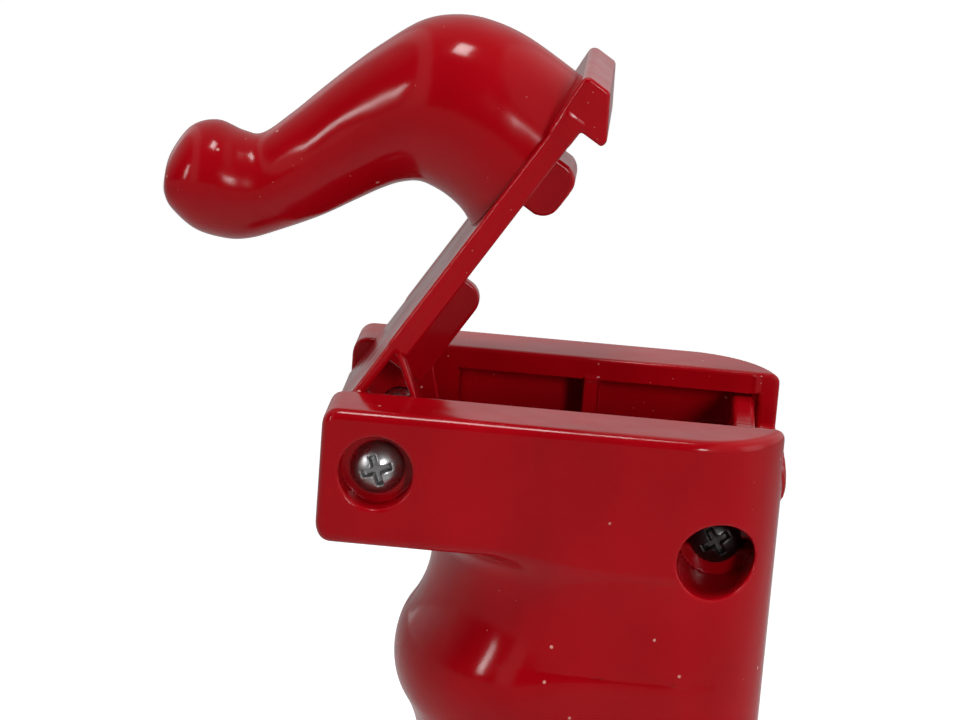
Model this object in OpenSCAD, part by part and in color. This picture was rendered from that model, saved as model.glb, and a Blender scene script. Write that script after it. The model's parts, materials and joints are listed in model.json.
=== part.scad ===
// Hand-cranked garlic press: a two-shell moulded body with a hinged, latched lid over its hopper.
// The horn on the lid presses cloves onto a vaned rotor, which squeezes them through a curved
// screen into a drawer in the foot of the grip.
// +X runs from the hinge end to the back, +Y to the crank side, +Z up; the origin is under the foot.

/* [Body] */
// Height from the table to the rim
body_h = 104; // [100:1:112]
// Width across the two shells
body_w = 42; // [42:0.5:44]
// Wall thickness of the moulded shells
wall = 2.2; // [1.8:0.1:2.4]
// Height of the overhanging top box
box_h = 15; // [14.6:0.1:15.4]
// Depth of the finger grooves
groove_depth = 3.7; // [3:0.1:4]

/* [Lid] */
// How far the lid is swung open from shut
open_deg = 57.6; // [0:0.1:75]
// Width of the hopper mouth that the lid fills
mouth_w = 24.4; // [24:0.1:25]
// Thickness of the lid plate
plate_t = 1.2; // [1:0.1:1.6]

/* [Mechanism] */
// Radius swept by the rotor's vanes
rotor_r = 9; // [8:0.1:9.3]
// Number of vanes on the rotor
vanes = 5; // [4:1:6]
// Length of the crank arm between centres
crank_len = 34; // [30:1:38]

/* [Hidden] */
$fn = 64;
eps = 0.01;
red = [0.64, 0.01, 0.07];
steel = [0.72, 0.72, 0.74];

left_x = -30;               // hinge end of the top box
right_x = 20.6;               // straight back of the body
half_w = body_w / 2;
half_mouth = mouth_w / 2;
foot_t = 1.5;
corner_r = 11;              // upright corners of the back
nose_r = 16.1;              // upright corners either side of the finger grooves
nose_x = -21.8;             // front limit of the grip's plan before the grooves are cut
groove_axis_x = 5.9;        // the grooves are turned about this upright line
ridge_r = 27.5;             // from that line to the crest of a ridge
ridge_round = 8;
groove_pitch = 24;
rim_t = 2.6;
hinge = [left_x + 6.55, 0, body_h - 6.7];
slot_floor = body_h - 12.8;
window_x0 = left_x + 13;
window_x1 = right_x - wall;
block_x = [left_x + 45, left_x + 47.5];
upper_screw = [left_x + 43.9, 0, body_h - 13.5];
lower_screws = [[-8, 0, 52], [13.2, 0, 52]];
rotor_axis = [-1, 0, body_h - 30];
screen_r = rotor_r + 0.7;
screen_t = 0.8;
shaft_r = 3;
bush_r = 5;
rotor_half = 16.2;
run_gap = 0.05;             // radial running clearance of shafts in their bushes
drawer_w = 18.6;
drawer_z = [4.3, 26];

module at(p) { translate(p) children(); }
module along_y(y0, y1) { translate([0, y0, 0]) rotate([-90, 0, 0]) linear_extrude(y1 - y0) children(); }
module rod_y(p, r, y0, y1) { translate([p[0], y0, p[2]]) rotate([-90, 0, 0]) cylinder(r = r, h = y1 - y0); }
module side_view(y0, y1) { translate([0, y1, 0]) rotate([90, 0, 0]) linear_extrude(y1 - y0) children(); }
module box(x, y, z) { translate([x[0], y[0], z[0]]) cube([x[1] - x[0], y[1] - y[0], z[1] - z[0]]); }

// Rectangle in plan with its own corner radius at each end
module plan(x0, x1, half, r0, r1) {
    translate([x0 + r0, -half]) square([x1 - x0 - r0 - r1, 2 * half]);
    translate([x0, -half + r0]) square([r0 + eps, 2 * (half - r0)]);
    translate([x1 - r1 - eps, -half + r1]) square([r1 + eps, 2 * (half - r1)]);
    for (s = [-1, 1]) {
        translate([x0 + r0, s * (half - r0)]) circle(r0);
        translate([x1 - r1, s * (half - r1)]) circle(r1);
    }
}

// Wavy outline of the finger grooves, as distance from the groove axis against height
module groove_outline(inset) {
    half = groove_pitch / 2;
    sum_r = (half * half + groove_depth * groove_depth) / (2 * groove_depth);
    bump_r = ridge_round - inset;
    dip_r = sum_r - ridge_round + inset;
    bump_c = ridge_r - ridge_round;
    dip_c = ridge_r - groove_depth + sum_r - ridge_round;
    join = ridge_round / sum_r;
    join_r = bump_c + (dip_c - bump_c) * join;
    difference() {
        union() {
            square([join_r - inset, body_h]);
            for (k = [0:4]) translate([bump_c, k * groove_pitch]) circle(bump_r);
        }
        for (k = [-1:4]) translate([dip_c, k * groove_pitch + half]) circle(dip_r);
    }
}

// The grip as a solid, moved inwards by the given amount
module grip(inset, z0, z1) {
    difference() {
        translate([0, 0, z0]) linear_extrude(z1 - z0)
            plan(nose_x + inset, right_x - inset, half_w - inset, nose_r - inset, corner_r - inset);
        intersection() {
            translate([groove_axis_x, 0, 0]) difference() {
                translate([0, 0, -1]) cylinder(r = 45, h = body_h + 2);
                translate([0, 0, -2]) cylinder(r = 12, h = body_h + 4);
                rotate_extrude() groove_outline(inset);
            }
            box([-60, -5.9], [-40, 40], [-3, body_h + 3]);
        }
    }
}

module top_box() {
    intersection() {
        translate([0, 0, body_h - box_h]) linear_extrude(box_h)
            plan(left_x, right_x, half_w, 1.6, corner_r);
        side_view(-40, 40) {
            translate([left_x + 2, body_h - box_h]) square([70, box_h]);
            translate([left_x, body_h - box_h + 2]) square([3, box_h - 4]);
            for (z = [body_h - 2, body_h - box_h + 2]) translate([left_x + 2, z]) circle(2);
        }
    }
}

// Everything both shells share, still in one piece
module body_blank() {
    difference() {
        union() {
            grip(0, foot_t, body_h - box_h + 1);
            top_box();
            side_view(-5, 5) polygon([[right_x - 1, body_h - 11], [right_x, body_h - 10.9],
                [right_x + 0.5, body_h - 8], [right_x + 0.4, body_h - 7.3], [right_x - 1, body_h - 6.6]]);
        }
        grip(wall, foot_t - 1, body_h - box_h + wall + 0.5);
        translate([0, 0, body_h - box_h + wall]) linear_extrude(box_h - wall - rim_t)
            plan(window_x0, window_x1, half_w - wall, 1.6, corner_r - wall);
        box([window_x0 - 1, block_x[1]], [-half_mouth, half_mouth], [body_h - 8, body_h + 1]);
        box([left_x - 1, window_x0 + eps], [-half_mouth, half_mouth], [slot_floor, body_h + 1]);
        box([block_x[1], right_x + 2], [-half_mouth, half_mouth], [body_h - 6.5, body_h + 1]);
        box([right_x - 4, right_x + 2], [-drawer_w / 2 - 0.4, drawer_w / 2 + 0.4],
            [drawer_z[0] - 0.4, drawer_z[1] + 0.6]);
    }
}

// One shell: the half of the blank on its side of the joint plane, with ribs and screw bosses
module shell(side) {
    lo = side < 0 ? -half_w : 0.02;
    hi = side < 0 ? -0.02 : half_w;
    inner = half_w - wall + 0.5;
    y_rib = side < 0 ? [-inner, -half_mouth] : [half_mouth, inner];
    y_block = side < 0 ? [-inner, -0.02] : [0.02, inner];
    y_wall = side < 0 ? [-half_mouth, -0.02] : [0.02, half_mouth];
    difference() {
        union() {
            intersection() {
                body_blank();
                box([-60, 60], [lo, hi], [-5, body_h + 5]);
            }
            box([left_x + 27.6, left_x + 29.2], y_rib, [body_h - 16, body_h - rim_t + eps]);
            box(block_x, y_block, [body_h - 9, body_h - 3]);
            box([window_x0 - eps, window_x0 + 1.6], y_wall, [body_h - box_h + 1, body_h - 8]);
            shell_boss(hinge, side, 3.8, half_mouth + 1, lug_y[1] + 0.3);
            shell_boss(upper_screw, side, 5.6, half_w - 3.4, 8);
            shell_boss(upper_screw, side, 3.6, 9, 0.1);
            for (p = lower_screws) shell_boss(p, side, 4.6, half_w - 3, 0.1);
            shell_boss(rotor_axis, side, bush_r + 1.6, half_w - wall + 0.5, half_w - wall - 1.2);
        }
        rod_y(hinge, 2.05, -30, 30);
        if (side < 0) {
            rod_y(hinge, 4, -30, -half_w + 3);
            rod_y(upper_screw, 4.2, -30, -10.5);
            for (p = lower_screws) rod_y(p, 3.6, -30, -10.5);
            for (p = screw_places()) rod_y(p, 1.6, -12, 1);
            rod_y(rotor_axis, bush_r + run_gap, -half_w + 1.2, 0);
        } else {
            rod_y(hinge, 4, half_w - 3, 30);
            for (p = screw_places()) rod_y(p, 1.35, -1, half_w - 6);
            rod_y(rotor_axis, bush_r + run_gap, 0, 30);
        }
    }
}

function screw_places() = [upper_screw, lower_screws[0], lower_screws[1]];

module shell_boss(p, side, r, y_out, y_in) {
    if (side < 0) rod_y(p, r, -y_out, -y_in);
    else rod_y(p, r, y_in, y_out);
}

module front_shell() { color(red) shell(-1); }
module rear_shell() { color(red) shell(1); }

module swung_open() {
    translate(hinge) rotate([0, -open_deg, 0]) translate(-hinge) children();
}

// The lid is drawn shut, flush with the rim, and swung open about the hinge screw
lid_half = half_mouth - 1;
lid_x = [left_x + 5, left_x + 49];
lug_y = [lid_half - 2.4, lid_half];

module lid_shut() {
    top = body_h;
    box(lid_x, [-lid_half, lid_half], [top - plate_t, top]);
    for (s = [0, 1]) mirror([0, s, 0]) {
        box([left_x + 16.5, lid_x[1]], [lid_half - 1.4, lid_half], [top - 2.5, top - plate_t + eps]);
        difference() {
            side_view(lug_y[0], lug_y[1]) {
                translate([hinge[0], hinge[2]]) circle(4.6);
                difference() {
                    polygon([[hinge[0] - 4.5, hinge[2] + 1], [hinge[0] - 1.5, top - plate_t + eps],
                        [left_x + 17.4, top - plate_t + eps], [left_x + 13.7, top - 5.9],
                        [hinge[0] + 3.4, hinge[2] - 3]]);
                    polygon([[left_x + 10.4, top - plate_t], [left_x + 16, top - plate_t],
                        [left_x + 12.9, top - 5.2], [left_x + 10.4, top - 3.9]]);
                }
            }
            rod_y(hinge, 2 + run_gap, 0, 20);
        }
    }
    // cross brace, rear rib and the two pressing feet
    side_view(-lug_y[0] - 1, lug_y[0] + 1) polygon([[left_x + 13.4, top - plate_t + eps],
        [left_x + 15, top - plate_t + eps], [left_x + 12.7, top - 5.4], [left_x + 11.6, top - 4.8]]);
    side_view(-0.9, 0.9) {
        translate([left_x + 12.4, top - 6.2]) square([10.7, 6.2 - plate_t / 2]);
        translate([left_x + 23, top - 4]) square([2.2, 4 - plate_t / 2]);
        translate([left_x + 23, top - 4]) circle(2.2);
    }
    side_view(-4, 4) {
        translate([left_x + 36.4, top - 4.2]) square([6.6, 4.2 - plate_t / 2]);
        translate([left_x + 38.5, top - 4.2]) circle(2.1);
        translate([left_x + 40.9, top - 4.2]) circle(2.1);
        translate([left_x + 38.5, top - 6.3]) square([2.4, 2.5]);
    }
    // latch wedge with its thumb tab
    side_view(-lid_half, lid_half) polygon([[left_x + 46, top - plate_t], [left_x + 46, top - 2.3],
        [left_x + 47.9, top - 2.3], [left_x + 48.2, top - 5.3], [left_x + 48.9, top - 5.5],
        [left_x + 53.4, top - 1.9], [left_x + 53.4, top + 0.3], [left_x + 52.8, top + 0.8],
        [left_x + 51.6, top + 0.8], [left_x + 51.6, top], [left_x + 48, top]]);
}
module lid() {
    color(red) swung_open() difference() {
        lid_shut();
        for (p = handle_screw_at) translate([p[0], p[1], body_h - 5]) cylinder(r = 1.3, h = 6);
    }
}

// Stations of the horn, lid shut: upper and lower outline, and half width, tip to base
handle_screw_at = [[left_x + 34, 0], [left_x + 41, 6.2], [left_x + 41, -6.2]];
horn = [
    [[14.8, 30.9], [12.5, 29.4], 2.6], [[16.9, 31.7], [11.7, 27.7], 4.6],
    [[20.4, 31.6], [11.4, 24.3], 6], [[22.7, 29.7], [12.6, 21.0], 6.4],
    [[23.5, 26.7], [14.3, 18.8], 6], [[24.6, 24.8], [17.1, 16.7], 5.6],
    [[28.4, 23.5], [21.2, 14.0], 5.8], [[32.8, 22.4], [25.0, 12.0], 6.4],
    [[36.9, 21.3], [27.8, 10.5], 6.9], [[40.7, 20.1], [29.7, 9.2], 7.5],
    [[45.5, 18.1], [31.1, 7.6], 8.3], [[48.4, 15.4], [31.6, 5.7], 8.8],
    [[50.2, 12.0], [31.7, 3.8], 9.2], [[51.2, 7.3], [31.4, 1.8], 9.5],
    [[51.3, 0.02], [30.6, 0.02], 9.7]];
horn_sides = 28;
horn_steps = 3;
// Catmull-Rom curve through the stations
function blend(a, b, c, d, t) = 0.5 * (2 * b + (c - a) * t + (2 * a - 5 * b + 4 * c - d) * t * t
    + (3 * b - a - 3 * c + d) * t * t * t);
function station(i) = horn[max(0, min(len(horn) - 1, i))];
function horn_at(k, part) = let (i = floor(k / horn_steps), t = k / horn_steps - i)
    blend(station(i - 1)[part], station(i)[part], station(i + 1)[part], station(i + 2)[part], t);
function horn_ring(k) = let (up = horn_at(k, 0), low = horn_at(k, 1), w = horn_at(k, 2),
    mid = (up + low) / 2, arm = (up - low) / 2)
    [for (j = [0:horn_sides - 1]) let (a = 360 * j / horn_sides)
        [left_x + mid[0] + arm[0] * cos(a), w * sin(a), body_h + mid[1] + arm[1] * cos(a)]];
horn_rings = (len(horn) - 1) * horn_steps;
module horn_solid() {
    points = [for (k = [0:horn_rings]) each horn_ring(k)];
    n = horn_sides;
    faces = [[for (j = [0:n - 1]) n - 1 - j], [for (j = [0:n - 1]) horn_rings * n + j],
        for (k = [0:horn_rings - 1]) for (j = [0:n - 1])
            each [[k * n + j, k * n + (j + 1) % n, (k + 1) * n + (j + 1) % n],
                [k * n + j, (k + 1) * n + (j + 1) % n, (k + 1) * n + j]]];
    polyhedron(points, faces);
}
module horn_handle() {
    color(red) swung_open() difference() {
        horn_solid();
        for (p = handle_screw_at) translate([p[0], p[1], body_h - 1]) cylinder(r = 1.3, h = 6);
    }
}
module handle_screws() {
    color(steel) swung_open() for (p = handle_screw_at) translate([p[0], p[1], 0]) {
        translate([0, 0, body_h - plate_t - 1.2]) cylinder(r = 2, h = 1.2);
        translate([0, 0, body_h - plate_t - 0.5]) cylinder(r = 1.2, h = 5.8);
    }
}

// Pan-head screw lying along Y with its head towards -Y and its seat at y_seat
module screw_y(p, head_r, head_h, r, y_seat, y_end) {
    ball_r = (head_r * head_r + head_h * head_h) / (2 * head_h);
    difference() {
        union() {
            intersection() {
                translate([p[0], y_seat - head_h + ball_r, p[2]]) sphere(ball_r);
                rod_y(p, head_r, y_seat - head_h, y_seat);
            }
            rod_y(p, r, y_seat - 0.5, y_end);
        }
        for (a = [0, 90]) translate([p[0], y_seat - head_h, p[2]]) rotate([0, 20 + a, 0])
            cube([0.7, 2.4, 3.4], center = true);
    }
}
module hinge_screw() { color(steel) screw_y(hinge, 3.15, 2.2, 2, -half_w + 3, half_w - 2.4); }
module hinge_nut() {
    color(steel) difference() {
        rod_y(hinge, 3.4, half_w - 3, half_w - 0.6);
        rod_y(hinge, 2.02, half_w - 4, half_w - 2.2);
    }
}
module shell_screws() { color(steel) for (p = screw_places()) screw_y(p, 3, 1.9, 1.3, -10.5, 9); }

module rotor() {
    color([0.86, 0.86, 0.84]) difference() {
        union() {
            rod_y(rotor_axis, 5, -rotor_half, rotor_half);
            for (k = [0:vanes - 1]) translate(rotor_axis) rotate([0, 360 * k / vanes + 18, 0])
                translate([4, -rotor_half, -1.1]) cube([rotor_r - 4, 2 * rotor_half, 2.2]);
        }
        rod_y(rotor_axis, shaft_r, -20, 20);
    }
}
module rotor_shaft() { color(steel) rod_y(rotor_axis, shaft_r, -19.4, 26); }
module shaft_clip() {
    color(steel) difference() {
        rod_y(rotor_axis, 4.6, 22.3, 22.9);
        rod_y(rotor_axis, shaft_r, 20, 30);
    }
}
module bush(y0, y1) {
    difference() {
        rod_y(rotor_axis, bush_r, y0, y1);
        rod_y(rotor_axis, shaft_r + run_gap, y0 - 1, y1 + 1);
    }
}
module front_bush() { color([0.85, 0.82, 0.7]) bush(-19.8, -16.9); }
module rear_bush() {
    color([0.85, 0.82, 0.7]) union() {
        bush(16.9, 21.2);
        difference() {
            rod_y(rotor_axis, 7.2, half_w, 22.1);
            rod_y(rotor_axis, shaft_r + run_gap, 20, 23);
        }
    }
}

// Half-round trough under the rotor, pierced in rows
screen_half = 16.5;
hole_rows = 4;
hole_count = 6;
module press_screen() {
    color(steel) difference() {
        union() {
            intersection() {
                difference() {
                    rod_y(rotor_axis, screen_r + screen_t, -screen_half, screen_half);
                    rod_y(rotor_axis, screen_r, -20, 20);
                }
                box([-30, 30], [-20, 20], [rotor_axis[2] - 20, rotor_axis[2]]);
            }
            for (s = [-1, 1]) translate([rotor_axis[0] + s * (screen_r + 1.2), 0, rotor_axis[2] - screen_t / 2])
                cube([2.2, 2 * screen_half, screen_t], center = true);
        }
        for (i = [0:hole_rows - 1], j = [0:hole_count - 1])
            translate([rotor_axis[0], (j - (hole_count - 1) / 2) * 5.2, rotor_axis[2]])
                rotate([0, 90 + 34 * (i - (hole_rows - 1) / 2), 0]) cylinder(r = 1.3, h = 20);
    }
}
module chute(xs) {
    intersection() {
        side_view(-half_w, half_w) polygon(xs);
        grip(wall + 0.15, 60, body_h);
    }
}
module chute_front() {
    color(red) chute([[-14.9, 88], [-13.6, 88], [-10.9, 74.1], [-12.6, 74.1]]);
}
module chute_back() {
    color(red) difference() {
        chute([[17.8, 83.6], [17.8, 82.4], [10.8, 74.1], [9.3, 74.1], [16.6, 83.6]]);
        rod_y(upper_screw, 5.9, -30, 30);
    }
}

// Funnel from the screen to the drawer: two upright ends and two sloping sides
funnel_x = [-10.5, 15];
funnel_z = [28, 46];
funnel_half = [8, 17.5];
module mash_funnel() {
    t = 1.2;
    color(red) union() {
        for (s = [0, 1]) mirror([0, s, 0]) translate([funnel_x[0], 0, 0]) rotate([90, 0, 90])
            linear_extrude(funnel_x[1] - funnel_x[0])
                polygon([[funnel_half[0], funnel_z[0]], [funnel_half[1], funnel_z[1]],
                    [funnel_half[1] - t, funnel_z[1]], [funnel_half[0] - t, funnel_z[0]]]);
        for (x = [funnel_x[0], funnel_x[1] - t]) translate([x, 0, 0]) rotate([90, 0, 90])
            linear_extrude(t) polygon([[funnel_half[0], funnel_z[0]], [funnel_half[1], funnel_z[1]],
                [-funnel_half[1], funnel_z[1]], [-funnel_half[0], funnel_z[0]]]);
    }
}

module drawer() {
    half = drawer_w / 2;
    color(red) difference() {
        box([-12, right_x - 0.1], [-half, half], drawer_z);
        box([-10.6, right_x - 2.1], [-half + 1.4, half - 1.4], [drawer_z[0] + 1.4, drawer_z[1] + 1]);
    }
}
module drawer_pull() {
    color(red) difference() {
        box([right_x - 0.1, right_x + 4], [-5, 5], [18, 21]);
        rod_y([right_x + 2.4, 0, 17.6], 1.4, -6, 6);
    }
}
module base_plate() {
    color(red) difference() {
        translate([0, 0, foot_t]) linear_extrude(2.4)
            plan(nose_x + 7, right_x - wall - 0.2, half_w - wall - 0.2, 10, corner_r - wall - 0.2);
        box([right_x - 4, right_x], [-drawer_w, drawer_w], [foot_t + 2.3, foot_t + 3]);
    }
}
module foot_pad() {
    color([0.12, 0.12, 0.12]) linear_extrude(foot_t) plan(nose_x + 1.2, right_x - 0.6, half_w - 0.6, 15, corner_r - 0.6);
}

crank_y = [23, 26.4];
knob_y = [27, 45];
knob_axis = rotor_axis - [0, 0, crank_len];
module crank_arm() {
    color(red) difference() {
        union() {
            rod_y(rotor_axis, 6.5, crank_y[0], crank_y[1]);
            rod_y(knob_axis, 4.5, crank_y[0], crank_y[1]);
            box([rotor_axis[0] - 4.5, rotor_axis[0] + 4.5], crank_y, [knob_axis[2], rotor_axis[2]]);
        }
        rod_y(rotor_axis, shaft_r, 20, 30);
        rod_y(knob_axis, 2.2, 20, 30);
    }
}
module crank_screw() {
    color(steel) translate([0, 2 * crank_y[1], 0]) mirror([0, 1, 0])
        screw_y(rotor_axis, 4.2, 2.2, 1.4, crank_y[1], crank_y[1] + 0.01);
}
module knob_pin() {
    color(steel) union() {
        rod_y(knob_axis, 2.2, crank_y[0], knob_y[1] + 0.3);
        rod_y(knob_axis, 3.6, knob_y[1] + 0.3, knob_y[1] + 1.6);
    }
}
module crank_knob() {
    color(red) translate([knob_axis[0], 0, knob_axis[2]]) rotate([-90, 0, 0]) rotate_extrude() difference() {
        intersection() {
            translate([2.2 + run_gap, knob_y[0]]) square([8, knob_y[1] - knob_y[0]]);
            translate([-17, (knob_y[0] + knob_y[1]) / 2]) circle(24.4);
        }
        translate([8.4, knob_y[0]]) circle(1.6);
    }
}

front_shell();
rear_shell();
lid();
horn_handle();
handle_screws();
hinge_screw();
hinge_nut();
shell_screws();
rotor();
rotor_shaft();
shaft_clip();
front_bush();
rear_bush();
press_screen();
chute_front();
chute_back();
mash_funnel();
drawer();
drawer_pull();
base_plate();
foot_pad();
crank_arm();
crank_screw();
knob_pin();
crank_knob();
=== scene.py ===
import json
import math

import bmesh
import bpy
import numpy as np
import openvdb
from mathutils import Matrix, Vector


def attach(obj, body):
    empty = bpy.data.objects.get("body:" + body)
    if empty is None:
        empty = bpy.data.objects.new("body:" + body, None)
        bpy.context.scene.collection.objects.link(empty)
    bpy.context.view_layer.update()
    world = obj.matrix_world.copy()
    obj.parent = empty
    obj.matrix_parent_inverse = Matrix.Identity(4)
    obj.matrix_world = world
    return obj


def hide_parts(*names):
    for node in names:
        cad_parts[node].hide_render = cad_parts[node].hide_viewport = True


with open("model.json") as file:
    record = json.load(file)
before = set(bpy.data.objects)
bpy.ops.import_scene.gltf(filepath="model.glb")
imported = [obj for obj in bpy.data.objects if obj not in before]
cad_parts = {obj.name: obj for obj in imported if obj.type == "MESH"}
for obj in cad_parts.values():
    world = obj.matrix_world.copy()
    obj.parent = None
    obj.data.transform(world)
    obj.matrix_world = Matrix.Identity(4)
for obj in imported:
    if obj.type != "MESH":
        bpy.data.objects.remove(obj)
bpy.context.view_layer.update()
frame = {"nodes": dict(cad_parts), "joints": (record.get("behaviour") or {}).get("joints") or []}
MM = 0.001

# ---------------------------------------------------------------- camera
# Close view of the upper half, level with the hinge and a little above it, the camera rolled a
# few degrees so that the rim falls away to the right.
target = Vector((-13.15, -21, 110.92)) * MM
turn, lift, roll = math.radians(2.68), math.radians(14.08), math.radians(4.48)
distance = 0.3521
back = Vector((math.sin(turn) * math.cos(lift), -math.cos(turn) * math.cos(lift), math.sin(lift)))
level = (-back).cross(Vector((0, 0, 1))).normalized()
upward = level.cross(-back)
picture_x = level * math.cos(roll) + upward * math.sin(roll)
picture_y = upward * math.cos(roll) - level * math.sin(roll)
camera = bpy.data.objects.new("camera", bpy.data.cameras.new("camera"))
camera.data.sensor_width = 36
camera.data.lens = 124.1
camera.data.clip_start = 0.01
camera.matrix_world = Matrix((
    (picture_x.x, picture_y.x, back.x, target.x + back.x * distance),
    (picture_x.y, picture_y.y, back.y, target.y + back.y * distance),
    (picture_x.z, picture_y.z, back.z, target.z + back.z * distance),
    (0, 0, 0, 1)))
bpy.context.scene.collection.objects.link(camera)
bpy.context.scene.camera = camera
bpy.context.scene.view_settings.view_transform = "Standard"


# ---------------------------------------------------------------- studio
# A pale floor and a plain white surround. Small softboxes overhead, at the left and in front draw
# the highlights, and a broad one at the right and two pale walls give the gloss something to show.
class Wire:
    """A node socket that adds Math nodes when it is used in an expression."""

    def __init__(self, tree, socket):
        self.tree = tree
        self.socket = socket

    def node(self, kind, settings=None, **inputs):
        made = self.tree.nodes.new("ShaderNode" + kind)
        for key, value in (settings or {}).items():
            if key == "stops":
                ramp = made.color_ramp.elements
                while len(ramp) < len(value):
                    ramp.new(1)
                for stop, (place, shade) in zip(ramp, value):
                    stop.position, stop.color = place, shade
            else:
                setattr(made, key, value)
        for key, value in inputs.items():
            numbered = key[0] == "i" and key[1:].isdigit()
            slot = made.inputs[int(key[1:]) if numbered else key.replace("_", " ")]
            if isinstance(value, Wire):
                self.tree.links.new(value.socket, slot)
            else:
                slot.default_value = value
        return made

    def out(self, kind, output=0, settings=None, **inputs):
        return Wire(self.tree, self.node(kind, settings, **inputs).outputs[output])

    def math(self, operation, *values, clamp=False):
        inputs = {"i%d" % k: value for k, value in enumerate(values)}
        return self.out("Math", 0, {"operation": operation, "use_clamp": clamp}, **inputs)

    def __add__(self, other): return self.math("ADD", self, other)
    def __radd__(self, other): return self.math("ADD", other, self)
    def __sub__(self, other): return self.math("SUBTRACT", self, other)
    def __rsub__(self, other): return self.math("SUBTRACT", other, self)
    def __mul__(self, other): return self.math("MULTIPLY", self, other)
    def __rmul__(self, other): return self.math("MULTIPLY", other, self)
    def above(self, edge, width): return self.math("MULTIPLY_ADD", self - edge, 1 / width, 0.5, clamp=True)
    def most(self, other): return self.math("MAXIMUM", self, other)
    def absolute(self): return self.math("ABSOLUTE", self, 0.0)

    def mix(self, first, second):
        return self.out("Mix", 2, {"data_type": "RGBA"}, i0=self, i6=first, i7=second)


def fresh_tree(owner):
    owner.use_nodes = True
    owner.node_tree.nodes.clear()
    return Wire(owner.node_tree, None)


world = bpy.data.worlds.new("studio")
bpy.context.scene.world = world
sky = fresh_tree(world)
path = sky.node("LightPath")
facing = sky.out("SeparateXYZ", 1, Vector=sky.out("TexCoord", 0))
height = sky.out("SeparateXYZ", 2, Vector=sky.out("TexCoord", 0))
behind = facing.above(0.25, 0.9)
overhead = height.above(0.55, 0.7)
rightward = sky.out("SeparateXYZ", 0, Vector=sky.out("TexCoord", 0))
right_wall = rightward.above(0.36, 0.05) * (1 - rightward.above(0.96, 0.1))
left_wall = (0 - rightward).above(0.42, 0.05) * (1 - (0 - rightward).above(0.62, 0.05))
room = 0.01 + behind * 0.55 + overhead * 0.06 + right_wall * 0.42 + left_wall * 0.5
seen = Wire(sky.tree, path.outputs["Is Camera Ray"]).most(Wire(sky.tree, path.outputs["Is Transmission Ray"]))
strength = seen + (1 - seen) * room
sky.node("OutputWorld", Surface=sky.out("Background", 0, Color=(1, 1, 1, 1), Strength=strength))


def softbox(name, place, aim, width, length, watts, spread):
    half = math.radians(spread) / 2
    lamp = bpy.data.lights.new(name, "AREA")
    lamp.shape = "RECTANGLE"
    lamp.size, lamp.size_y = width, length
    lamp.spread = 2 * half
    lamp.energy = watts * (1 - half / math.tan(half))
    holder = bpy.data.objects.new(name, lamp)
    place, aim = Vector(place), Vector(aim)
    holder.rotation_euler = (aim - place).to_track_quat("-Z", "Y").to_euler()
    holder.location = place
    bpy.context.scene.collection.objects.link(holder)


middle = (0, 0, 0.09)
softbox("overhead_box", (-0.05, -0.12, 0.65), middle, 0.11, 0.18, 1.6, 50)
softbox("left_box", (-0.50, -0.38, 0.26), middle, 0.06, 0.26, 1.0, 40)
softbox("right_box", (0.60, -0.08, 0.20), middle, 0.34, 0.60, 1.2, 70)
softbox("front_box", (0.30, -0.85, 0.36), middle, 0.12, 0.20, 3.5, 30)

floor_mesh = bpy.data.meshes.new("floor")
floor_mesh.from_pydata([(-3, -3, 0), (3, -3, 0), (3, 3, 0), (-3, 3, 0)], [], [(0, 1, 2, 3)])
floor = bpy.data.objects.new("floor", floor_mesh)
bpy.context.scene.collection.objects.link(floor)
floor_paint = bpy.data.materials.new("floor_paint")
sheet = fresh_tree(floor_paint)
floor_path = sheet.node("LightPath")
floor_seen = Wire(sheet.tree, floor_path.outputs["Is Camera Ray"])
glow = sheet.out("Emission", 0, Color=(1, 1, 1, 1), Strength=floor_seen * 0.68)
matt = sheet.out("BsdfDiffuse", 0, Color=(0.8, 0.8, 0.8, 1))
sheet.node("OutputMaterial", Surface=sheet.out("AddShader", 0, i0=glow, i1=matt))
floor_mesh.materials.append(floor_paint)


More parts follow.
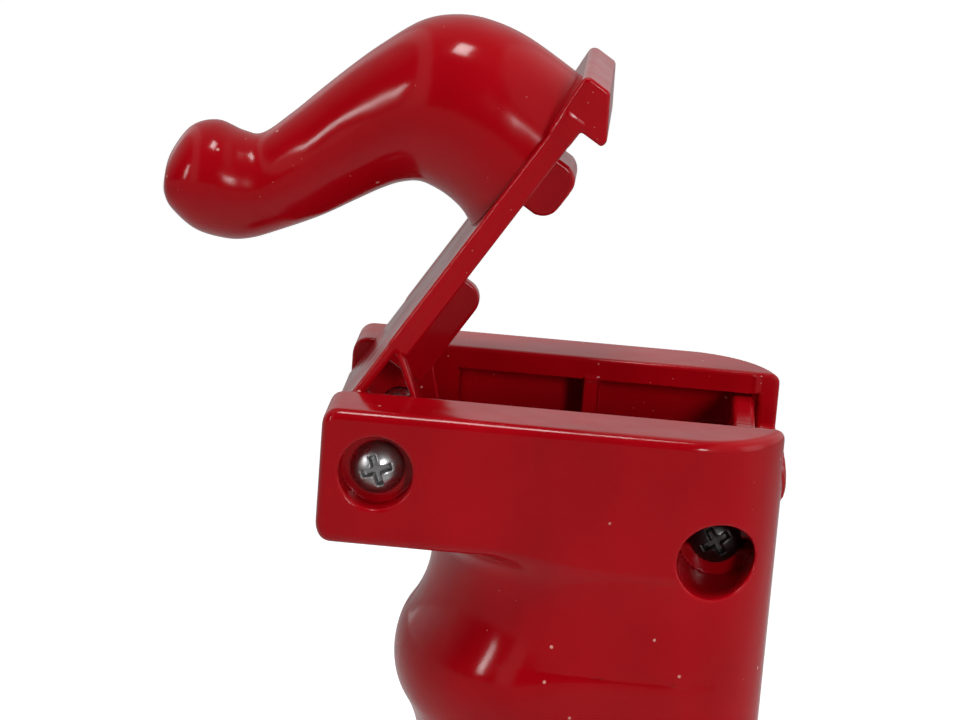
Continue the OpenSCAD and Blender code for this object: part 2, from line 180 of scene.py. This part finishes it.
# ---------------------------------------------------------------- shells
# Two mirror-image halves of one body, injection moulded in deep red ABS and screwed together on
# the upright middle plane. Each has a wide rim flange over the hopper, a hinge ear and half of
# the finger-grooved grip.
def red_plastic(name, cloud=0.5, seam=False):
    """Glossy red ABS: cloudy colour, pale dust specks, faint sink waves and a fine orange peel."""
    paint = bpy.data.materials.new(name)
    start = fresh_tree(paint)
    where = start.out("TexCoord", 3)
    wide = start.out("TexNoise", 0, Vector=where, Scale=38.0, Detail=3.0, Roughness=0.55)
    streak = start.out("TexNoise", 0, Vector=start.out("Mapping", 0, Vector=where, Scale=(60, 60, 14)),
                       Scale=1.6, Detail=4.0)
    flow = wide * 0.6 + streak * 0.4
    deep = (0.26, 0.0004, 0.003, 1)
    bright = (0.50, 0.0012, 0.0075, 1)
    colour = flow.above(0.5, cloud).mix(deep, bright)
    cells = start.node("TexVoronoi", {"feature": "F1"}, Vector=where, Scale=340.0, Randomness=1.0)
    pick = start.out("SeparateXYZ", 0, Vector=Wire(start.tree, cells.outputs["Color"]))
    size = Wire(start.tree, cells.outputs["Distance"])
    dust = (1 - size.above(0.065, 0.03)) * pick.above(0.66, 0.01)
    fine_cells = start.node("TexVoronoi", {"feature": "F1"}, Vector=where, Scale=900.0, Randomness=1.0)
    fine_pick = start.out("SeparateXYZ", 1, Vector=Wire(start.tree, fine_cells.outputs["Color"]))
    fine_size = Wire(start.tree, fine_cells.outputs["Distance"])
    fine = (1 - fine_size.above(0.06, 0.05)) * fine_pick.above(0.86, 0.01)
    colour = (dust * 0.75 + fine * 0.4).mix(colour, (0.86, 0.42, 0.36, 1))
    handled = start.out("TexNoise", 0, Vector=where, Scale=120.0, Detail=5.0, Roughness=0.6)
    rough = 0.13 + handled.above(0.58, 0.25) * 0.10 + dust * 0.3
    sink = start.out("TexNoise", 0, Vector=start.out("Mapping", 0, Vector=where, Scale=(1, 1, 0.35)),
                     Scale=110.0, Detail=2.0) * 0.00022
    peel = start.out("TexNoise", 0, Vector=where, Scale=900.0, Detail=2.0) * 0.0000035
    scuff = handled.above(0.66, 0.1) * 0.000004
    relief = sink + peel + scuff + dust * 0.00004
    if seam:
        side = start.out("SeparateXYZ", 1, Vector=where).absolute()
        relief = relief + (1 - side.above(0.00012, 0.00016)) * 0.00006
    bump = start.out("Bump", 0, Strength=1.0, Distance=1.0, Height=relief)
    coat = start.node("BsdfPrincipled", Base_Color=colour, Roughness=rough, Normal=bump)
    coat.inputs["Specular IOR Level"].default_value = 0.24
    start.node("OutputMaterial", Surface=Wire(start.tree, coat.outputs[0]))
    return paint


red = red_plastic("moulded_red")


def fillet_join(a, b, r):
    """Both solids, with a concave fillet of radius r where they meet."""
    return np.maximum(r, np.minimum(a, b)) - np.hypot(np.maximum(r - a, 0), np.maximum(r - b, 0))


def round_meet(a, b, r):
    """Where both solids are, with the shared edge rounded to radius r."""
    return np.minimum(-r, np.maximum(a, b)) + np.hypot(np.maximum(r + a, 0), np.maximum(r + b, 0))


def cut(a, b, r):
    return round_meet(a, -b, r)


def span(v, low, high):
    return np.abs(v - (low + high) / 2) - (high - low) / 2


def block(p, xs, ys, zs, r=0.3):
    a, b, c = [span(v, *ends) + r for v, ends in zip(p, (xs, ys, zs))]
    outside = np.sqrt(np.maximum(a, 0) ** 2 + np.maximum(b, 0) ** 2 + np.maximum(c, 0) ** 2)
    return outside + np.minimum(np.maximum(np.maximum(a, b), c), 0) - r


def rod(p, centre, r):
    """Round bar along Y through a point (x, z)."""
    return np.hypot(p[0] - centre[0], p[2] - centre[1]) - r


def plan(p, x0, x1, half, r0, r1):
    """Upright prism, a rectangle in plan with corner radius r0 at low x and r1 at high x."""
    middle_x = (x0 + x1) / 2
    r = np.where(p[0] < middle_x, r0, r1)
    a = np.abs(p[0] - middle_x) - (x1 - x0) / 2 + r
    b = np.abs(p[1]) - half + r
    return np.hypot(np.maximum(a, 0), np.maximum(b, 0)) + np.minimum(np.maximum(a, b), 0) - r


def moulded(name, field, low, high, voxel, body, replaced, paint, place=None):
    """Meshes a field in millimetres, sets smooth normals from its slope and rides it on a body."""
    low, high = np.array(low) - 2.5 * voxel, np.array(high) + 2.5 * voxel
    counts = np.ceil((high - low) / voxel).astype(int)
    axes = [low[k] + voxel * np.arange(counts[k]) for k in range(3)]
    grid_points = (axes[0][:, None, None], axes[1][None, :, None], axes[2][None, None, :])
    values = np.broadcast_to(field(grid_points), counts).astype(np.float32)
    grid = openvdb.FloatGrid(3 * voxel)
    grid.copyFromArray(np.clip(np.ascontiguousarray(values), -3 * voxel, 3 * voxel))
    points, triangles, quads = grid.convertToPolygons(isovalue=0.0, adaptivity=0.0)
    points = points.astype(float) * voxel + low

    def slope(at):
        step = 0.04
        rows = []
        for k in range(3):
            shift = np.zeros(3)
            shift[k] = step
            ahead, behind_it = (at + shift).T, (at - shift).T
            rows.append(field(ahead) - field(behind_it))
        out = np.stack(rows, 1)
        return out / np.maximum(np.linalg.norm(out, axis=1), 1e-9)[:, None]

    for _ in range(2):
        points = points - slope(points) * np.clip(field(points.T), -voxel, voxel)[:, None] * 0.9
    normals = slope(points)
    mesh = bpy.data.meshes.new(name)
    faces = [q[::-1] for q in quads.tolist()] + [t[::-1] for t in triangles.tolist()]
    mesh.from_pydata((points * MM).tolist(), [], faces)
    mesh.update()
    first = mesh.polygons[0]
    if first.normal.dot(Vector(normals[first.vertices[0]])) < 0:
        mesh.flip_normals()
    mesh.shade_smooth()
    mesh.normals_split_custom_set_from_vertices(normals.tolist())
    if place is not None:
        mesh.transform(place)
    mesh.materials.append(paint)
    piece = bpy.data.objects.new(name, mesh)
    bpy.context.scene.collection.objects.link(piece)
    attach(piece, body)
    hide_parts(*replaced)
    return piece


rim = 104.0
hinge_at = (-23.45, rim - 6.7)
box_floor = rim - 15
upper_screw = (13.9, rim - 13.5)
lower_screws = ((-8.0, 52.0), (13.2, 52.0))
shaft_at = (-1.0, rim - 30)
body_ends = (-30.0, 20.6)
half_body, half_mouth, skin = 21.0, 12.2, 2.2


def groove_field(p, inset):
    """Finger grooves turned about an upright line: ridges of radius 8 between hollows."""
    depth, pitch, crest, bump = 3.7, 24.0, 27.5, 8.0
    reach = ((pitch / 2) ** 2 + depth ** 2) / (2 * depth)
    from_axis = np.hypot(np.minimum(p[0] - 5.9, 0), p[1])
    along = np.mod(p[2] + pitch / 2, pitch) - pitch / 2
    on_ridge = np.hypot(from_axis - (crest - bump), along) - (bump - inset)
    dip_centre = crest - depth + reach - bump
    in_dip = (reach - bump + inset) - np.hypot(from_axis - dip_centre, np.abs(along) - pitch / 2)
    meet = bump / reach * pitch / 2
    return np.where((np.abs(along) < meet) & (from_axis > crest - bump), on_ridge,
                    np.where(np.abs(along) < meet, from_axis - crest + inset, in_dip))


def grip(p, inset, soft):
    prism = plan(p, -24.5 + inset, body_ends[1] - inset, half_body - inset, 18.8 - inset, 11 - inset)
    return round_meet(prism, groove_field(p, inset), soft)


def body_outside(p):
    edge = 1.1
    slab = plan(p, *body_ends, half_body, 1.6, 11)
    box_half = (rim - box_floor) / 2
    from_middle = np.abs(p[2] - rim + box_half)
    end_r = 2.2
    side = np.hypot(np.maximum(body_ends[0] + end_r - p[0], 0),
                    np.maximum(from_middle - box_half + end_r, 0)) - end_r
    side = np.maximum(side, from_middle - box_half)
    top_box = round_meet(slab, side, edge)
    stem = np.maximum(grip(p, 0, 4.5), p[2] - box_floor - 2)
    crook = fillet_join(box_floor - p[2], grip(p, 0, 4.5), 3.2)
    crook = np.maximum(round_meet(crook, slab, edge), span(p[2], box_floor - 6, box_floor + 2))
    crook = np.maximum(crook, -25 - p[0])
    outside = np.minimum(np.minimum(top_box, stem), crook)
    foot = round_meet(outside, 1.5 - p[2], 0.6)
    lip_height = p[2] - rim + 8.2
    lip_x, lip_r = 20.2, 0.95
    lip = np.hypot(p[0] - lip_x + 0.12 * lip_height, lip_height * 0.42) - lip_r
    lip = np.maximum(span(p[1], -5.2, 5.0), lip)
    ragged = 0.18 * np.sin(p[1] * 2.3) + 0.12 * np.sin(p[1] * 5.1 + 1)
    return fillet_join(foot, lip + ragged, 0.3)


def shell_field(side):
    def field(p):
        x, y, z = p
        outside = body_outside(p)
        body = outside
        hollow = grip(p, skin, 4.0)
        hollow = np.maximum(hollow, z - box_floor - skin - 0.5)
        chamber = np.maximum(plan(p, -17, body_ends[1] - skin, half_body - skin, 1.6, 8.8),
                             span(z, box_floor + skin, rim - 2.6))
        mouth = block(p, (-18, 17.5), (-half_mouth, half_mouth), (rim - 8, rim + 5), 0.5)
        slot = block(p, (-40, -16.9), (-half_mouth, half_mouth), (rim - 12.8, rim + 5), 0.5)
        notch = block(p, (17.5, 40), (-half_mouth, half_mouth), (rim - 6.5, rim + 5), 0.6)
        drawer_way = block(p, (17, 40), (-9.7, 9.7), (3.9, 26.6), 0.5)
        open_space = np.minimum(np.minimum(hollow, chamber), np.minimum(mouth, slot))
        body = cut(body, open_space, 0.45)
        body = cut(body, np.minimum(notch, drawer_way), 0.4)
        out = y * side
        rib = np.maximum(block(p, (-2.4, -0.8), (-40, 40), (rim - 16, rim - 2.4), 0.2),
                         half_mouth + 0.1 - out)
        stop = block(p, (15, 17.5), (-19.3, 19.3), (rim - 9, rim - 3), 0.55)
        guard = block(p, (-17.2, -15.4), (-13.5, 13.5), (rim - 14, rim - 8), 0.3)
        boss = np.maximum(rod(p, hinge_at, 3.8), 11.5 - out)
        wide_boss = np.maximum(rod(p, upper_screw, 5.6), 8 - out)
        slim_boss = rod(p, upper_screw, 3.6)
        added = np.minimum(np.minimum(rib, stop), np.minimum(guard, boss))
        added = np.minimum(added, np.minimum(wide_boss, slim_boss))
        for centre in lower_screws:
            added = np.minimum(added, rod(p, centre, 4.6))
        collar = np.maximum(rod(p, shaft_at, 6.6), 17.6 - out)
        added = np.maximum(np.minimum(added, collar), outside + 1.5)
        body = fillet_join(body, added, 0.4)
        holes = rod(p, hinge_at, 2.05)
        holes = np.minimum(holes, np.maximum(rod(p, hinge_at, 4), 18 - out))
        if side < 0:
            deep = np.minimum(rod(p, upper_screw, 4.2), np.minimum(*[rod(p, c, 3.6) for c in lower_screws]))
            holes = np.minimum(holes, np.maximum(deep, 10.5 - out))
            shaft_hole = np.maximum(rod(p, shaft_at, 5.05), out - 19.8)
        else:
            shaft_hole = rod(p, shaft_at, 5.05)
        for centre in (upper_screw,) + lower_screws:
            holes = np.minimum(holes, np.maximum(rod(p, centre, 1.6), out - 15))
        holes = np.minimum(holes, shaft_hole)
        body = cut(body, holes, 0.35)
        return round_meet(body, 0.02 - out, 0.12)
    return field


shell_low, shell_high = (-30, -21, 1.5), (21.2, 0, 104)
for name, side in (("front_shell", -1), ("rear_shell", 1)):
    low = (shell_low[0], min(side * 21, 0), shell_low[2])
    high = (shell_high[0], max(side * 21, 0), shell_high[2])
    shell = moulded(name + "_moulding", shell_field(side), low, high, 0.34, "housing", [name], red)


# ---------------------------------------------------------------- lid
# A flanged plate that fills the hopper's mouth, moulded in one with its two pierced hinge lugs,
# rear rib, pressing foot and latch wedge. It swings on the hinge screw.
lid_joint = next(j for j in frame["joints"] if j["name"] == "lid_hinge")
open_angle = math.radians(max(lid_joint["range_deg"]))
pivot = Vector((hinge_at[0], 0, hinge_at[1])) * MM
lid_place = Matrix.Translation(pivot) @ Matrix.Rotation(-open_angle, 4, "Y") @ Matrix.Translation(-pivot)


def ray_side(p, a, b):
    """How far a point is to the left of the line from a to b, seen from -Y."""
    length = math.hypot(b[0] - a[0], b[1] - a[1])
    nx, nz = -(b[1] - a[1]) / length, (b[0] - a[0]) / length
    return (p[0] - a[0]) * nx + (p[2] - rim - a[1]) * nz


def convex(p, corners, r):
    """Prism along Y with a convex outline given clockwise as seen from -Y."""
    field = None
    for a, b in zip(corners, corners[1:] + corners[:1]):
        edge = ray_side(p, a, b)
        field = edge if field is None else round_meet(field, edge, r)
    return field


lid_half = 11.2


def lid_field(p):
    x, y, z = p
    wide = np.abs(y)
    plate = block(p, (-25, 19), (-lid_half, lid_half), (rim - 1.2, rim), 0.35)
    skirt = np.maximum(block(p, (-13.5, 19), (-lid_half, lid_half), (rim - 2.5, rim), 0.35),
                       lid_half - 1.4 - wide)
    lug = np.minimum(rod(p, hinge_at, 4.6), convex(p, [
        (-27.9, -5.7), (-25, -0.6), (-12.6, -0.6), (-16.3, -5.9), (-20, -9.7)], 0.3))
    pocket = convex(p, [(-19.6, -0.9), (-13.6, -0.9), (-16.9, -5.6), (-19.6, -4.3)], 0.25)
    lug = cut(lug, pocket, 0.15)
    lug = round_meet(lug, span(wide, lid_half - 2.4, lid_half), 0.25)
    rear_rib = np.minimum(block(p, (-17.6, -6.9), (-0.9, 0.9), (rim - 6.2, rim - 0.6), 0.3),
                          round_meet(rod(p, (-7, rim - 4), 2.2), wide - 0.9, 0.3))
    rear_rib = np.minimum(rear_rib, block(p, (-8, -4.8), (-0.9, 0.9), (rim - 4, rim - 0.6), 0.3))
    foot = np.minimum(rod(p, (8.5, rim - 4.2), 2.1), rod(p, (10.9, rim - 4.2), 2.1))
    foot = round_meet(foot, wide - 4, 0.5)
    foot = np.minimum(foot, block(p, (6.4, 13), (-4, 4), (rim - 5, rim - 0.6), 0.5))
    foot = np.minimum(foot, block(p, (8.5, 10.9), (-4, 4), (rim - 6.3, rim - 3), 0.3))
    tab = convex(p, [(16, 0.3), (22.9, 0.75), (23.4, 0.25), (23.4, -2.5), (16, -2.4)], 0.25)
    wedge = convex(p, [(18.0, -1), (23.35, -1), (23.4, -2.5), (18.8, -5.5), (18.05, -5.3)], 0.25)
    hook = np.minimum(tab, wedge)
    hook = np.maximum(round_meet(hook, wide - lid_half, 0.4), 16 - x)
    made = fillet_join(plate, skirt, 0.3)
    made = fillet_join(made, np.minimum(lug, rear_rib), 0.35)
    made = fillet_join(made, np.minimum(foot, hook), 0.35)
    return cut(made, rod(p, hinge_at, 2.05), 0.15)


lid_piece = moulded("lid_moulding", lid_field, (-28.5, -lid_half, 92), (23.4, lid_half, 104.9), 0.26,
                    "lid", ["lid"], red_plastic("moulded_red_lid", 0.6), lid_place)


# ---------------------------------------------------------------- horn
# The moulded horn that the palm or thumb presses, held by three screws from under the lid. Its
# parting line runs along the middle of its back and belly.
horn_stations = [
    ((14.8, 30.9), (12.5, 29.4), 2.6), ((16.9, 31.7), (11.7, 27.7), 4.6),
    ((20.4, 31.6), (11.4, 24.3), 6.0), ((22.7, 29.7), (12.6, 21.0), 6.4),
    ((23.5, 26.7), (14.3, 18.8), 6.0), ((24.6, 24.8), (17.1, 16.7), 5.6),
    ((28.4, 23.5), (21.2, 14.0), 5.8), ((32.8, 22.4), (25.0, 12.0), 6.4),
    ((36.9, 21.3), (27.8, 10.5), 6.9), ((40.7, 20.1), (29.7, 9.2), 7.5),
    ((45.5, 18.1), (31.1, 7.6), 8.3), ((48.4, 15.4), (31.6, 5.7), 8.8),
    ((50.2, 12.0), (31.7, 3.8), 9.2), ((51.2, 7.3), (31.4, 1.8), 9.5),
    ((51.3, 0.05), (30.6, 0.05), 9.7)]


def catmull(rows, steps):
    rows = np.array(rows, float)
    padded = np.vstack([rows[:1], rows, rows[-1:], rows[-1:]])
    out = []
    for k in range((len(rows) - 1) * steps + 1):
        i, t = divmod(k, steps)
        t = t / steps
        a, b, c, d = padded[i:i + 4]
        out.append(0.5 * (2 * b + (c - a) * t + (2 * a - 5 * b + 4 * c - d) * t * t
                          + (3 * b - a - 3 * c + d) * t ** 3))
    return np.array(out)


def horn_mesh():
    sides, steps = 96, 8
    rows = catmull([(*up, *down, w) for up, down, w in horn_stations], steps)
    turn_angle = 2 * math.pi * np.arange(sides) / sides
    points = []
    for ux, uz, lx, lz, w in rows:
        for a in turn_angle:
            points.append((-30 + (ux + lx) / 2 + (ux - lx) / 2 * math.cos(a), w * math.sin(a),
                           rim + (uz + lz) / 2 + (uz - lz) / 2 * math.cos(a)))
    rings = len(rows)
    faces = []
    for k in range(rings - 1):
        for j in range(sides):
            n = (j + 1) % sides
            faces.append((k * sides + j, k * sides + n, (k + 1) * sides + n, (k + 1) * sides + j))
    # rounded cap over the tip: rings that shrink towards a pole a little way out
    first = np.array(points[:sides])
    centre = first.mean(0)
    outward = np.array((-0.82, 0, 0.57)) * 0.55
    for k in range(sides):
        points[k] = tuple(first[k] - outward)
    first, centre = first - outward, centre - outward
    cap_start = len(points)
    cap_rings = 5
    for c in range(1, cap_rings):
        s = math.cos(c / cap_rings * math.pi / 2)
        lift_out = math.sin(c / cap_rings * math.pi / 2)
        for q in first:
            points.append(tuple(centre + (q - centre) * s + outward * lift_out))
    previous = 0
    for c in range(1, cap_rings):
        base = cap_start + (c - 1) * sides
        for j in range(sides):
            n = (j + 1) % sides
            faces.append((previous + n, previous + j, base + j, base + n))
        previous = base
    points.append(tuple(centre + outward))
    pole = len(points) - 1
    for j in range(sides):
        faces.append((previous + (j + 1) % sides, previous + j, pole))
    faces.append(tuple(reversed([(rings - 1) * sides + j for j in range(sides)])))
    mesh = bpy.data.meshes.new("horn_moulding")
    mesh.from_pydata([tuple(c * MM for c in q) for q in points], [], faces)
    mesh.update()
    return mesh


horn_skin = horn_mesh()
work = bmesh.new()
work.from_mesh(horn_skin)
bmesh.ops.recalc_face_normals(work, faces=work.faces)
work.to_mesh(horn_skin)
work.free()
horn_skin.shade_smooth()
horn_skin.set_sharp_from_angle(angle=math.radians(80))
horn_skin.transform(lid_place)
horn_skin.materials.append(red_plastic("moulded_red_horn", 0.7, seam=True))
horn = bpy.data.objects.new("horn_moulding", horn_skin)
bpy.context.scene.collection.objects.link(horn)
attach(horn, "lid")
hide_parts("horn_handle")


# ---------------------------------------------------------------- screws
# Plated steel pan-head screws with a cross recess: the hinge screw and the three shell screws.
def plated_steel(name, shade, rough):
    paint = bpy.data.materials.new(name)
    start = fresh_tree(paint)
    where = start.out("TexCoord", 3)
    mottle = start.out("TexNoise", 0, Vector=where, Scale=420.0, Detail=4.0, Roughness=0.65)
    pits = start.out("TexNoise", 0, Vector=where, Scale=1600.0, Detail=3.0)
    dull = mottle.above(0.52, 0.25)
    colour = dull.mix((shade, shade, shade * 1.02, 1), (shade * 0.55, shade * 0.52, shade * 0.5, 1))
    roughness = rough + dull * 0.22
    bump = start.out("Bump", 0, Strength=1.0, Distance=1.0, Height=mottle * 0.00004 + pits * 0.000012)
    metal = start.out("BsdfPrincipled", 0, Base_Color=colour, Metallic=1.0, Roughness=roughness, Normal=bump)
    start.node("OutputMaterial", Surface=metal)
    return paint


steel = plated_steel("plated_steel", 0.5, 0.26)
dark_steel = plated_steel("blackened_steel", 0.13, 0.34)


def screw_field(centre, head_r, head_h, seat, end, shank_r, cross=20):
    ball = (head_r ** 2 + head_h ** 2) / (2 * head_h)
    c, s = math.cos(math.radians(cross)), math.sin(math.radians(cross))

    def field(p):
        x, z = p[0] - centre[0], p[2] - centre[1]
        y = p[1]
        axis_r = np.hypot(x, z)
        dome = np.hypot(axis_r, y - (seat - head_h + ball)) - ball
        head = round_meet(round_meet(dome, axis_r - head_r, 0.5), y - seat, 0.1)
        shank = round_meet(axis_r - shank_r, span(y, seat - 1, end), 0.2)
        depth = y - (seat - head_h)
        blade = 0.42 - 0.10 * depth
        a, b = x * c + z * s, z * c - x * s
        reach = head_r * 0.62 - 0.45 * depth
        arms = np.minimum(np.maximum(np.abs(a) - blade, np.abs(b) - reach),
                          np.maximum(np.abs(b) - blade, np.abs(a) - reach))
        arms = np.minimum(arms, axis_r - 0.75 + 0.3 * depth)
        recess = np.maximum(arms, depth - 1.5)
        return np.minimum(cut(head, recess, 0.14), shank)
    return field


hinge_screw = moulded("hinge_screw_turned", screw_field(hinge_at, 3.15, 2.2, -18, 18.6, 2.0),
                      (hinge_at[0] - 3.2, -20.2, hinge_at[1] - 3.2),
                      (hinge_at[0] + 3.2, 18.6, hinge_at[1] + 3.2),
                      0.16, "housing", ["hinge_screw"], steel)
shell_screw_places = (("upper", upper_screw), ("lower_front", lower_screws[0]), ("lower_back", lower_screws[1]))
for label, centre in shell_screw_places:
    screw = moulded("shell_screw_" + label, screw_field(centre, 3.0, 1.9, -10.5, 9, 1.3, cross=35),
                    (centre[0] - 3, -12.4, centre[1] - 3), (centre[0] + 3, 9, centre[1] + 3), 0.18, "housing",
                    ["shell_screws"] if label == "upper" else [], dark_steel)

# ---------------------------------------------------------------- carried-over parts
# Pieces whose turned or pressed shape is already complete keep it and take their own finish.
def dull_finish(name, shade, worn, scale, rough, relief, metallic=0.0):
    """Mottled colour with worn patches, uneven roughness and a fine bump."""
    paint = bpy.data.materials.new(name)
    start = fresh_tree(paint)
    where = start.out("TexCoord", 3)
    mottle = start.out("TexNoise", 0, Vector=where, Scale=scale, Detail=5.0, Roughness=0.6)
    grain = start.out("TexNoise", 0, Vector=start.out("Mapping", 0, Vector=where, Scale=(1, 12, 1)),
                      Scale=scale * 3, Detail=3.0)
    patch = mottle.above(0.54, 0.2)
    colour = patch.mix((*shade, 1), (*worn, 1))
    bump = start.out("Bump", 0, Strength=1.0, Distance=1.0, Height=(mottle + grain * 0.5) * relief)
    skin_wire = start.out("BsdfPrincipled", 0, Base_Color=colour, Metallic=metallic,
                          Roughness=rough + patch * 0.18 + grain * 0.06, Normal=bump)
    start.node("OutputMaterial", Surface=skin_wire)
    return paint


nylon = dull_finish("white_nylon", (0.62, 0.60, 0.55), (0.50, 0.47, 0.41), 260, 0.38, 0.00002)
bush_acetal = dull_finish("dark_acetal", (0.045, 0.045, 0.048), (0.075, 0.073, 0.07), 300, 0.34, 0.000015)
rubber = dull_finish("black_rubber", (0.022, 0.022, 0.023), (0.05, 0.048, 0.045), 220, 0.68, 0.00005)
sheet_steel = dull_finish("brushed_sheet_steel", (0.55, 0.55, 0.54), (0.38, 0.37, 0.36), 180, 0.26,
                          0.00001, 1.0)
plain_finish = {
    "handle_screws": steel, "hinge_nut": steel, "rotor_shaft": steel, "shaft_clip": steel,
    "crank_screw": steel, "knob_pin": steel, "press_screen": sheet_steel, "rotor": nylon,
    "front_bush": bush_acetal, "rear_bush": bush_acetal, "foot_pad": rubber,
    "chute_front": red, "chute_back": red, "mash_funnel": red, "drawer": red, "drawer_pull": red,
    "base_plate": red, "crank_arm": red, "crank_knob": red}
for node, paint in plain_finish.items():
    part = frame["nodes"][node]
    part.data.materials.clear()
    part.data.materials.append(paint)
